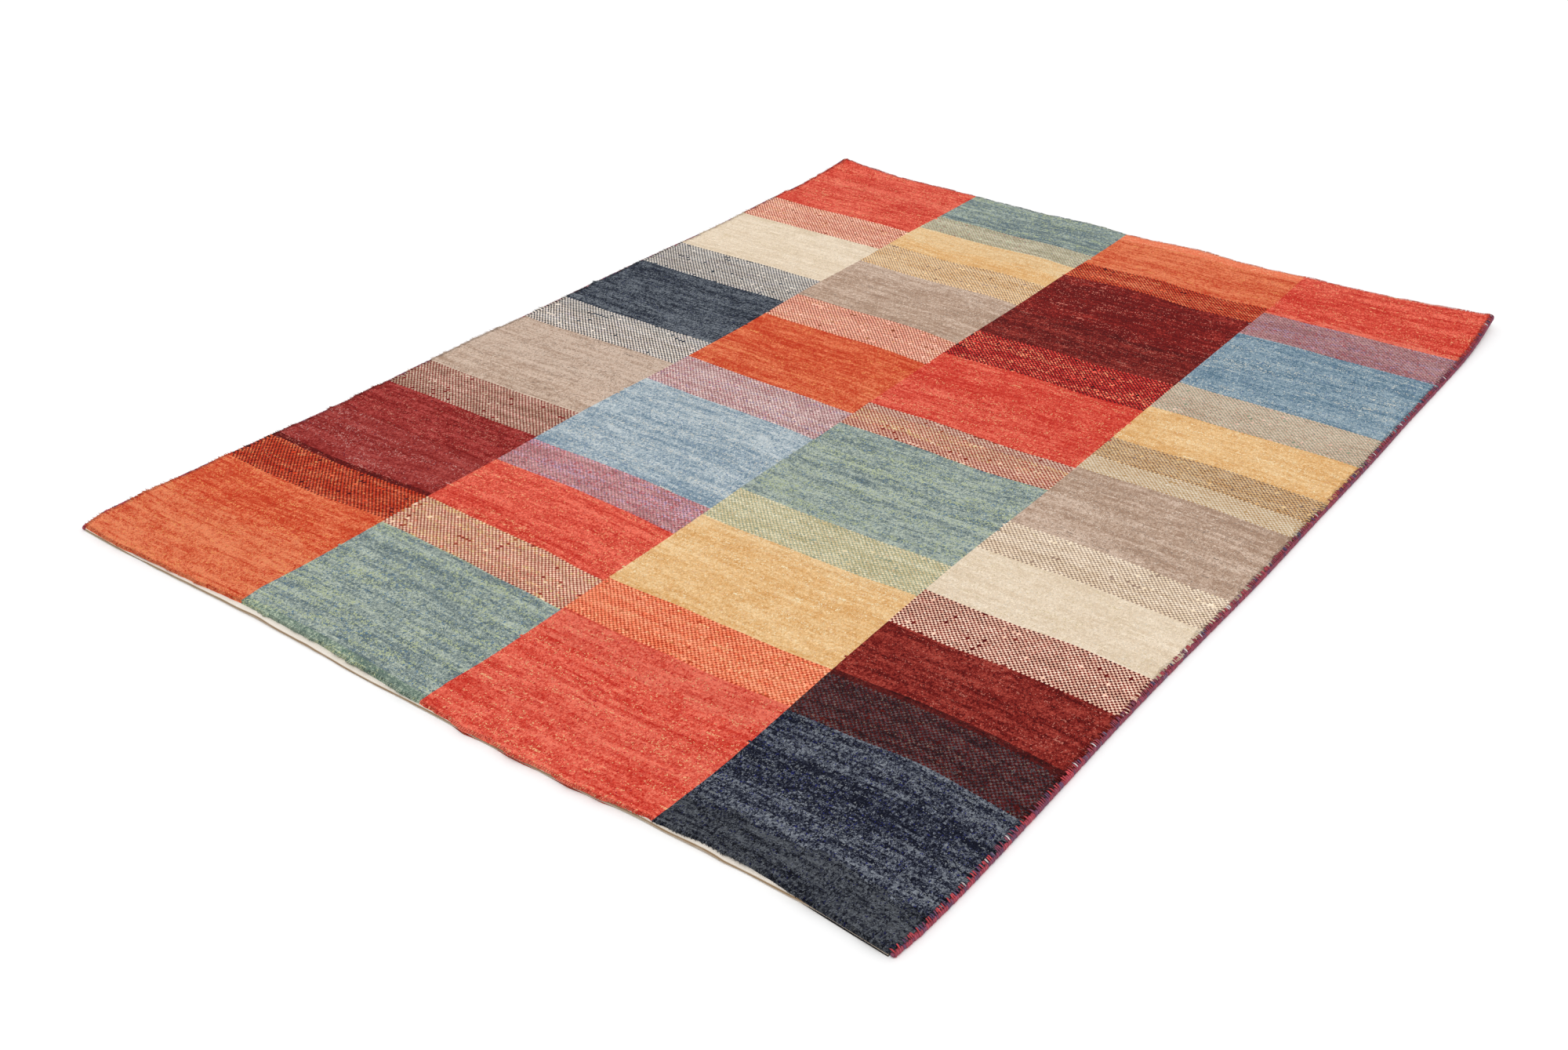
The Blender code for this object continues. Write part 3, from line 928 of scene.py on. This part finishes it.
def build_hem(name, material, end):
    """Flat-woven strip of one short end, turned under at its fold."""
    rng = seeded("hem", end)
    fold_of, pile_of, inward = front_fold, pile_front, 1
    if end == "back":
        fold_of, pile_of, inward = back_fold, pile_back, -1
    share = np.linspace(0, 1, HEM_STEPS + 1)
    x = side_edge("left", 0) + share * (side_edge("right", 0) - side_edge("left", 0))
    fold, pile = fold_of(x), pile_of(x)
    uneven = smooth_noise(rng, (1, HEM_STEPS + 1), (1, HEM_UNEVEN_WAVE))[0] * HEM_UNEVEN / 2
    rows = []
    for row in HEM_SECTION:
        base = pile if row.base == "pile" else fold + inward * np.abs(uneven)
        y = base + inward * row.beyond
        if row.base == "fold" and row.height > HEM_BULGE:
            y = inward * np.minimum(inward * y, inward * pile)
        left, right = side_wall("left", y), side_wall("right", y)
        at = left + share * (right - left)
        rows.append(to_part(at, y, row.height + uneven * (row.height > HEM_BULGE) + lift(at, y)))
    points = np.stack(rows)
    index = np.arange(points.shape[0] * points.shape[1]).reshape(points.shape[:2])
    faces = grid_faces(index).reshape(-1, 4)
    if end == "front":
        faces = faces[:, ::-1]
    gone = np.linalg.norm(np.diff(points.mean(axis=1), axis=0), axis=-1)
    round_it = np.concatenate([[0], np.cumsum(gone)])
    width = round_it[-1]
    along = np.broadcast_to(share, index.shape).ravel()[faces]
    around = np.broadcast_to((round_it / width)[:, None], index.shape).ravel()[faces]
    weave = np.stack([along * HEM_STEPS * WARPS_A_STEP, around], axis=-1)
    worn = np.repeat([row.worn for row in HEM_SECTION[:-1]], HEM_STEPS)
    hem = add_mesh(name, points.reshape(-1, 3), faces, material, {"worn": worn}, {
        "OFBake": folded_map(along, around, HEM_STRIPS),
        "weave": weave,
    })
    return hem, width


def build_cord(name, material, side):
    """Overcast cord of one long side: wool wrapped round the edge warps in a close spiral."""
    rng = seeded("cord", side)
    inward = 1 if side == "left" else -1
    places = STATIONS[side][0]
    start, end = places[0], places[-1]
    wraps = int((end - start) / WRAP_PITCH)
    count = wraps * RINGS_A_WRAP
    y = np.linspace(start, end, count + 1)
    x = side_edge(side, y) + inward * WOOL_RADIUS
    turn = 2 * math.pi * (np.arange(CORD_SIDES) + 0.5) / CORD_SIDES
    phase = (np.arange(count + 1) / RINGS_A_WRAP)[:, None] + inward * turn[None] / (2 * math.pi)
    wrap = np.floor(phase).astype(int)
    swelling = np.abs(np.sin(math.pi * phase)) ** WRAP_SWELLING
    uneven = rng.standard_normal(wraps + SPARE_WRAPS)[wrap] * WRAP_UNEVEN
    radius = WOOL_RADIUS - WRAP_GROOVE * (1 - swelling) - np.abs(uneven)
    from_tip = np.minimum(np.arange(count + 1), np.arange(count + 1)[::-1])
    taper = np.clip(from_tip / CORD_TIP_RINGS, 0, 1)
    radius = radius * (0.5 + 0.5 * np.sqrt(taper))[:, None]
    middle = np.full(len(y), WOOL_RADIUS * math.cos(math.pi / CORD_SIDES))
    height = lift(x, y) + middle
    points = to_part(
        x[:, None] + radius * np.sin(turn),
        np.broadcast_to(y[:, None], radius.shape),
        np.maximum(height[:, None] - radius * np.cos(turn), lift(x, y)[:, None]),
    )
    first, last = (
        points[at].mean(axis=1, keepdims=True).repeat(CORD_SIDES, axis=1)
        for at in (slice(0, 1), slice(-1, None))
    )
    points = np.concatenate([first, points, last])
    rings = np.clip(np.arange(-1, count + 2), 0, count)
    index = np.arange(points.shape[0] * points.shape[1]).reshape(points.shape[:2])
    index = np.concatenate([index, index[:, :1]], axis=1)
    faces = grid_faces(index).reshape(-1, 4)
    along_grid = np.broadcast_to(rings[:, None] / count, index.shape)
    around_grid = np.broadcast_to(np.arange(CORD_SIDES + 1) / CORD_SIDES, index.shape)
    corner = grid_faces(np.arange(index.size).reshape(index.shape)).reshape(-1, 4)
    along, around = along_grid.ravel()[corner], around_grid.ravel()[corner]
    spiral = np.stack([along * wraps + inward * (around + 0.5 / CORD_SIDES), around], axis=-1)
    yarn = wrap_colours(rng, wraps + SPARE_WRAPS)[np.floor(spiral[:, :, 0].mean(axis=1)).astype(int)]
    return add_mesh(name, points.reshape(-1, 3), faces, material, {"yarn": yarn}, {
        "OFBake": folded_map(along, around, CORD_STRIPS),
        "spiral": spiral,
    })


def wrap_colours(rng, count):
    """The yarn of each wrap, from the front, as a place among the cord's yarns: 0 the first, 1 the last."""
    yarn = np.zeros(count)
    at = 0
    while at < count:
        near = max(1 - at / count * NEAR_SHARE, 0)
        red = rng.integers(*RED_RUN) + int(RED_RUN_FAR * (1 - near))
        navy = rng.integers(*NAVY_RUN)
        yarn[at:at + red] = rng.uniform(*(BRIGHT_RED if rng.random() < near else DULL_RED))
        yarn[at + red:at + red + navy] = rng.uniform(*NAVY)
        at += red + navy
    return np.clip(yarn + rng.uniform(-YARN_SPREAD, YARN_SPREAD, count), 0, YARN_MOST)


def build_stitches(name, material, side):
    """The overcasting where it enters the cloth: a strand of yarn a wrap, lying in over the pile."""
    rng = seeded("stitches", side)
    inward = 1 if side == "left" else -1
    start, end = STATIONS[side][0][[0, -1]]
    count = int((end - start) / WRAP_PITCH)
    y = start + (np.arange(count) + 0.5) * WRAP_PITCH
    yarn = wrap_colours(rng, count)
    yarn = np.where(rng.random(count) < CREAM_STITCHES, CREAM_YARN, yarn)
    clump = smooth_noise(rng, (1, count), (1, STITCH_CLUMP))[0]
    mean, clumps, own = STITCH_REACH
    share = np.clip(mean + clumps * clump + rng.normal(0, own, count), 0, 1)
    reach = STITCH_TIP[0] + (STITCH_TIP[1] - STITCH_TIP[0]) * share
    slant = rng.uniform(*STITCH_SLANT, count)
    points = []
    for ring in STITCH_RINGS:
        at_y = y + slant * ring.inside / STITCH_TIP[0]
        at_x = side_edge(side, at_y) + inward * ring.inside
        for k in range(STITCH_SIDES):
            turn = 2 * math.pi * (k + 0.25) / STITCH_SIDES
            height = ring.height - STITCH_SINKS[side] + ring.radius * math.sin(turn) + lift(at_x, at_y)
            points.append(to_part(at_x, at_y + ring.radius * math.cos(turn), height))
    tip_y = y + slant * reach / STITCH_TIP[0]
    tip_x = side_edge(side, tip_y) + inward * reach
    points.append(to_part(tip_x, tip_y, STITCH_TIP_HEIGHT - STITCH_SINKS[side] + lift(tip_x, tip_y)))
    points = np.stack(points, axis=1)
    kept = rng.random(count) > STITCHES_LEFT_OUT
    points, yarn, number = points[kept], yarn[kept], np.arange(count)[kept]
    size = points.shape[1]
    local = strand_faces(len(STITCH_RINGS), STITCH_SIDES)
    if side == "left":
        local = local[:, ::-1]
    faces = (np.arange(len(points))[:, None, None] * size + local[None]).reshape(-1, 3)
    along = np.repeat(number, size) + np.tile(np.linspace(0.3, 0.7, size), len(points))
    around = np.tile(np.linspace(0.6, 0.9, size), len(points))
    values = {"yarn": np.repeat(yarn, len(local))}
    return add_mesh(name, points.reshape(-1, 3), faces, material, values, {
        "OFBake": folded_map(along[faces] / count, around[faces], CORD_STRIPS),
        "spiral": np.stack([along, around], axis=-1)[faces],
    })


def build_back(name, material, knots):
    """The cloth's underside, a grid with the dyes of the knots above it."""
    row, place = np.mgrid[0:BACK_STEPS_ALONG + 1, 0:BACK_STEPS_ACROSS + 1].astype(float)
    x, y = field_point(place / BACK_STEPS_ACROSS, row / BACK_STEPS_ALONG)
    points = to_part(x, y, lift(x, y) + BACK_RISE)
    index = np.arange(row.size).reshape(row.shape)
    faces = grid_faces(index).reshape(-1, 4)[:, ::-1]
    chosen = [
        ((np.arange(steps) + 0.5) / steps * count).astype(int)
        for steps, count in ((BACK_STEPS_ALONG, KNOT_ROWS), (BACK_STEPS_ACROSS, KNOTS_ACROSS))
    ]
    values = wool_values(knots, np.ix_(*chosen))
    shares = np.stack([place / BACK_STEPS_ACROSS, row / BACK_STEPS_ALONG], axis=-1).reshape(-1, 2)[faces]
    knot_map = shares * (KNOTS_ACROSS, KNOT_ROWS)
    return add_mesh(name, points.reshape(-1, 3), faces, material, values, {
        "OFBake": shares,
        "knots": knot_map,
    })


class Nodes:
    """Short ways to add and join shader nodes."""

    def __init__(self, name):
        self.material = bpy.data.materials.new(name)
        self.material.use_nodes = True
        self.tree = self.material.node_tree
        self.shader = self.tree.nodes["Principled BSDF"]

    def add(self, kind, settings=None, **inputs):
        node = self.tree.nodes.new(kind)
        for key, value in (settings or {}).items():
            setattr(node, key, value)
        for key, value in inputs.items():
            self.put(node.inputs[key.replace("_", " ")], value)
        return node

    def put(self, socket, value):
        if isinstance(value, bpy.types.NodeSocket):
            self.tree.links.new(value, socket)
        else:
            socket.default_value = value

    def math(self, operation, *values, clamp=False):
        node = self.tree.nodes.new("ShaderNodeMath")
        node.operation = operation
        node.use_clamp = clamp
        for socket, value in zip(node.inputs, values):
            self.put(socket, value)
        return node.outputs[0]

    def mix(self, share, first, second, blend="MIX"):
        node = self.tree.nodes.new("ShaderNodeMix")
        node.data_type = "RGBA"
        node.blend_type = blend
        self.put(node.inputs["Factor"], share)
        self.put(node.inputs["A"], first)
        self.put(node.inputs["B"], second)
        return node.outputs["Result"]

    def noise(self, place, scale, detail, roughness):
        settings = dict(Vector=place, Scale=scale, Detail=detail, Roughness=roughness)
        return self.add("ShaderNodeTexNoise", **settings).outputs["Fac"]

    def bump(self, height, strength, distance):
        node = self.add("ShaderNodeBump", Strength=strength, Distance=distance, Height=height)
        self.put(self.shader.inputs["Normal"], node.outputs["Normal"])

    def steps(self, value, colours):
        """A ramp of equal flat steps, one for each colour."""
        node = self.tree.nodes.new("ShaderNodeValToRGB")
        node.color_ramp.interpolation = "CONSTANT"
        stops = node.color_ramp.elements
        while len(stops) < len(colours):
            stops.new(1.0)
        for number, colour in enumerate(colours):
            stops[number].position = number / len(colours)
            stops[number].color = colour
        self.put(node.inputs["Fac"], value)
        return node.outputs["Color"]


def dyed_colour(n):
    """Colour of the wool, from the chart's knots and from a cell of noise for each end of yarn in them."""
    wool = n.add("ShaderNodeAttribute", {"attribute_name": "wool"})
    dye, dip, stray = n.add("ShaderNodeSeparateXYZ", Vector=wool.outputs["Vector"]).outputs
    finish = n.add("ShaderNodeAttribute", {"attribute_name": "finish"})
    tone, grain, _ = n.add("ShaderNodeSeparateXYZ", Vector=finish.outputs["Vector"]).outputs
    dark, light, stray_a, stray_b = (
        n.steps(dye, [tuple(np.array(getattr(entry, column)) / 255) + (1.0,) for entry in DYES])
        for column in ("dark", "light", "stray_a", "stray_b")
    )
    knots = n.add("ShaderNodeUVMap", {"uv_map": "knots"}).outputs["UV"]
    ends = n.add("ShaderNodeTexVoronoi", Vector=knots, Scale=ENDS_A_KNOT, Randomness=ENDS_SCATTER)
    pick, shift, bright = n.add("ShaderNodeSeparateXYZ", Vector=ends.outputs["Color"]).outputs
    shift = n.math("MULTIPLY_ADD", shift, ENDS_DIP, -ENDS_DIP / 2)
    shifted = n.math("ADD", dip, n.math("MULTIPLY", grain, shift))
    colour = n.mix(n.math("ADD", shifted, 0.0, clamp=True), dark, light)
    colour = n.mix(n.math("LESS_THAN", pick, stray), colour, stray_a)
    colour = n.mix(n.math("LESS_THAN", pick, n.math("MULTIPLY", stray, -1.0)), colour, stray_b)
    spread = n.math("MULTIPLY", grain, n.math("MULTIPLY_ADD", bright, ENDS_TONE, -ENDS_TONE / 2))
    lightness = n.math("DIVIDE", n.math("ADD", n.math("ADD", tone, 1.0), spread), STUDIO_LIGHT)
    seen = n.add("ShaderNodeGamma", Color=colour, Gamma=DISPLAY_GAMMA).outputs["Color"]
    return scaled_colour(n, seen, lightness), knots, ends.outputs["Distance"]


def scaled_colour(n, colour, scale):
    node = n.add("ShaderNodeVectorMath", {"operation": "SCALE"}, Scale=scale)
    n.put(node.inputs[0], colour)
    return node.outputs["Vector"]


def matt_wool(n):
    n.shader.inputs["Roughness"].default_value = WOOL_ROUGHNESS
    n.shader.inputs["Specular IOR Level"].default_value = WOOL_GLOSS
    n.shader.inputs["Sheen Weight"].default_value = WOOL_SHEEN
    n.shader.inputs["Sheen Roughness"].default_value = WOOL_SHEEN_ROUGHNESS


def pile_material():
    """Knotted wool: the chart gives each knot's dye, noise its ends of yarn and the clipped tips' relief."""
    n = Nodes("knotted_wool")
    colour, knots, from_end = dyed_colour(n)
    fibres = n.noise(knots, FIBRES_A_KNOT, 3.0, 0.65)
    darkest, lighter = FIBRE_SHADE
    fuzz = n.math("MULTIPLY_ADD", fibres, lighter, darkest)
    n.put(n.shader.inputs["Base Color"], scaled_colour(n, colour, fuzz))
    matt_wool(n)
    n.bump(n.math("SUBTRACT", n.math("MULTIPLY", fibres, 0.8), from_end), 0.5, 0.0009)
    return n.material


def back_material():
    """Back of the knotted wool: two loops a knot between thin cream wefts."""
    n = Nodes("knotted_wool_back")
    colour, knots, _ = dyed_colour(n)
    across, along, _ = n.add("ShaderNodeSeparateXYZ", Vector=knots).outputs
    loops = n.math("ABSOLUTE", n.math("SINE", n.math("MULTIPLY", across, 2 * math.pi)))
    rows = n.math("ABSOLUTE", n.math("SINE", n.math("MULTIPLY", along, math.pi)))
    weft = n.math("LESS_THAN", rows, WEFT_SHOWS)
    colour = n.mix(n.math("MULTIPLY", weft, 0.6), colour, linear(HEM_CREAM))
    n.put(n.shader.inputs["Base Color"], scaled_colour(n, colour, 0.9))
    matt_wool(n)
    n.bump(n.math("MULTIPLY", loops, rows), 0.8, 0.0008)
    return n.material


def hem_material():
    """Undyed flat weave: ribs along the warps, wefts over and under them, painted light and shade on its
    relief, and a brown painted shade where it turns under.
    """
    n = Nodes("hem_flat_weave")
    weave = n.add("ShaderNodeUVMap", {"uv_map": "weave"}).outputs["UV"]
    warp, round_it, _ = n.add("ShaderNodeSeparateXYZ", Vector=weave).outputs
    weft = n.math("MULTIPLY", round_it, HEM_WEFTS)
    odd = n.math("MULTIPLY", n.math("FLOOR", warp), math.pi)
    ribs = n.math("ABSOLUTE", n.math("SINE", n.math("MULTIPLY", warp, math.pi)))
    over = n.math("SINE", n.math("ADD", n.math("MULTIPLY", weft, math.pi), odd))
    height = n.math("ADD", ribs, n.math("MULTIPLY", over, 0.5))
    place = n.add("ShaderNodeTexCoord").outputs["Object"]
    cloud = n.noise(place, HEM_CLOUDS, 5.0, 0.65)
    strands = n.noise(place, HEM_STRANDS, 2.0, 0.5)
    colour = n.mix(n.math("MULTIPLY", cloud, 0.5), linear(HEM_CREAM), linear(HEM_SHADE))
    # Painted shade where the hem turns under: a brown like dust, mottled by the clouds
    worn = n.add("ShaderNodeAttribute", {"attribute_name": "worn"}).outputs["Fac"]
    shade_share = n.math("MULTIPLY", worn, n.math("MULTIPLY_ADD", cloud, 0.5, 0.75), clamp=True)
    colour = n.mix(shade_share, colour, linear(HEM_FOLD_SHADE))
    # Painted light and shade: the colour is lighter on the weave's raised ribs and strands, darker between
    # them
    relief = n.math("ADD", height, strands)
    shade = n.math("ADD", 0.98, n.math("MULTIPLY", relief, 0.06))
    n.put(n.shader.inputs["Base Color"], scaled_colour(n, colour, shade))
    matt_wool(n)
    n.bump(relief, 0.5, 0.0006)
    return n.material


def cord_material():
    """Overcast wool: a colour for each wrap, its plies running round the cord, painted shade in the grooves
    and on the cord's outer side.
    """
    n = Nodes("overcast_wool")
    yarn = n.add("ShaderNodeAttribute", {"attribute_name": "yarn"}).outputs["Fac"]
    spiral = n.add("ShaderNodeUVMap", {"uv_map": "spiral"}).outputs["UV"]
    wrap, around, _ = n.add("ShaderNodeSeparateXYZ", Vector=spiral).outputs
    groove = n.math("ABSOLUTE", n.math("SINE", n.math("MULTIPLY", wrap, math.pi)))
    ramp = n.add("ShaderNodeValToRGB", Fac=yarn)
    stops = ramp.color_ramp.elements
    for place in range(1, len(CORD_YARNS) - 1):
        stops.new(place / (len(CORD_YARNS) - 1))
    for stop, colour in zip(stops, CORD_YARNS):
        stop.color = linear(colour)
    # Painted shade on the cord's outer side, away from the cloth
    turned = n.math("SINE", n.math("MULTIPLY", around, 2 * math.pi))
    outer = n.math("MULTIPLY_ADD", turned, 0.5, 0.3, clamp=True)
    worn = n.mix(n.math("MULTIPLY", outer, 0.6), ramp.outputs["Color"], linear(CORD_SHADED))
    plies = n.add(
        "ShaderNodeCombineXYZ", X=n.math("MULTIPLY", wrap, 5.0), Y=n.math("MULTIPLY", around, 3.0),
    ).outputs["Vector"]
    strands = n.noise(plies, 1.0, 4.0, 0.7)
    # Painted shade in the grooves between the wraps
    shade = n.math("ADD", n.math("MULTIPLY", groove, 0.45), n.math("MULTIPLY", strands, 0.7))
    runs = n.math("MULTIPLY_ADD", n.noise(plies, 0.12, 2.0, 0.6), 1.6, 0.2)
    shade = n.math("MULTIPLY", n.math("ADD", shade, 0.3), runs)
    n.put(n.shader.inputs["Base Color"], scaled_colour(n, worn, shade))
    matt_wool(n)
    n.bump(n.math("ADD", groove, strands), 0.6, 0.001)
    return n.material


def add_camera():
    camera = bpy.data.cameras.new("camera")
    camera.lens = CAMERA_LENS
    camera.sensor_width = CAMERA_SENSOR
    camera.clip_end = CAMERA_SEES
    holder = bpy.data.objects.new("camera", camera)
    bpy.context.scene.collection.objects.link(holder)
    look = Vector(CAMERA_AIM) - Vector(CAMERA_AT)
    turn = look.to_track_quat("-Z", "Y").to_matrix().to_4x4()
    roll = Matrix.Rotation(math.radians(CAMERA_ROLL), 4, "Z")
    holder.matrix_world = Matrix.Translation(CAMERA_AT) @ turn @ roll
    bpy.context.scene.camera = holder


def add_key_light():
    """One large soft light from above, so far off that it lights the whole floor alike."""
    light = bpy.data.lights.new("key", "SUN")
    light.energy = KEY_STRENGTH
    light.angle = math.radians(KEY_SOFTNESS)
    holder = bpy.data.objects.new("key", light)
    bpy.context.scene.collection.objects.link(holder)
    holder.matrix_world = (-Vector(KEY_FROM)).to_track_quat("-Z", "Y").to_matrix().to_4x4()


def add_studio():
    """Plain white floor and sky."""
    world = bpy.data.worlds.new("studio")
    world.use_nodes = True
    backdrop = world.node_tree.nodes["Background"]
    backdrop.inputs["Color"].default_value = (1.0, 1.0, 1.0, 1.0)
    backdrop.inputs["Strength"].default_value = SKY_STRENGTH
    bpy.context.scene.world = world
    add_key_light()

    n = Nodes("studio_floor")
    n.shader.inputs["Base Color"].default_value = FLOOR_WHITE
    n.shader.inputs["Roughness"].default_value = 1.0
    n.shader.inputs["Specular IOR Level"].default_value = 0.0
    half = FLOOR_SPAN / 2
    corners = [(-half, -half, 0), (half, -half, 0), (half, half, 0), (-half, half, 0)]
    floor = add_mesh("studio_floor", corners, [(0, 1, 2, 3)], n.material)
    bpy.context.scene.view_settings.view_transform = "Standard"
    bpy.context.scene.view_settings.look = "None"


def dress(piece, slot, *nodes):
    """The piece rides on the rug and stands for the part's nodes; its slot is not used."""
    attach(piece, "root")
    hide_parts(*nodes)
    return piece


def main():
    add_camera()
    add_studio()
    knots = chart_knots()
    wool = pile_material()
    overcast = cord_material()
    for side in ("left", "right"):
        cord = build_cord(f"cord_{side}", overcast, side)
        stitches = build_stitches(f"stitches_{side}", overcast, side)
        for piece in (cord, stitches):
            dress(piece, "overcast_wool", f"side_cord_{side}")
    locks = [build_locks(f"locks_{end}", wool, knots, end) for end in OUTWARDS]
    for lock in locks:
        dress(lock, "knotted_wool", "rug_cloth")
    pile = build_pile(wool, knots)
    for number, tile in enumerate(pile):
        dress(tile, "knotted_wool", "rug_cloth")
    hem_cloth = hem_material()
    for end in SHORT:
        hem, hem_width = build_hem(f"hem_{end}", hem_cloth, end)
        dress(hem, "hem_flat_weave", "rug_cloth")
    back = dress(build_back("rug_back", back_material(), knots), "knotted_wool", "rug_cloth")


main()
